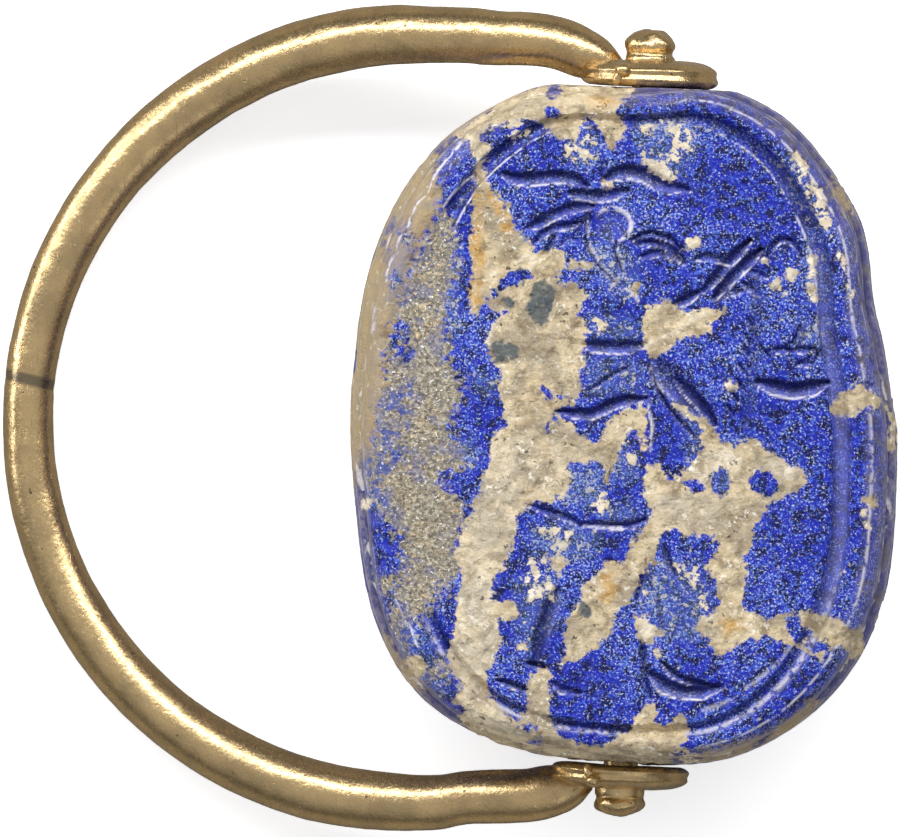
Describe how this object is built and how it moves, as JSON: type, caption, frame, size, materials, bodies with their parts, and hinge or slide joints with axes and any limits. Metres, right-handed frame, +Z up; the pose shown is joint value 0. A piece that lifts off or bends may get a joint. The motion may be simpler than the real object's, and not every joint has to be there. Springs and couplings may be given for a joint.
{
  "type": "scarab ring",
  "caption": "Swivel finger ring: an oval scarab with an engraved flat face turns on a pin held between the round pads of a tapered hoop.",
  "frame": {"origin": "centre of the underside of the whole ring's box, on the surface it lies on", "axes": "+X from the back of the hoop towards the scarab, +Y along the pin towards the scarab's head, +Z up out of the seal face"},
  "size_m": [0.026, 0.024, 0.0082],
  "materials": {
    "gold": "satin",
    "lapis": "satin"
  },
  "bodies": {
    "scarab": {"scarab": "lapis"},
    "hoop": {"hoop": "gold", "pin": "gold"}
  },
  "joints": [
    {"name": "swivel", "type": "hinge", "parent": "scarab", "child": "hoop", "pos_m": [0.00538, 0, 0.0044], "axis": [0, 1, 0], "continuous": true}
  ]
}
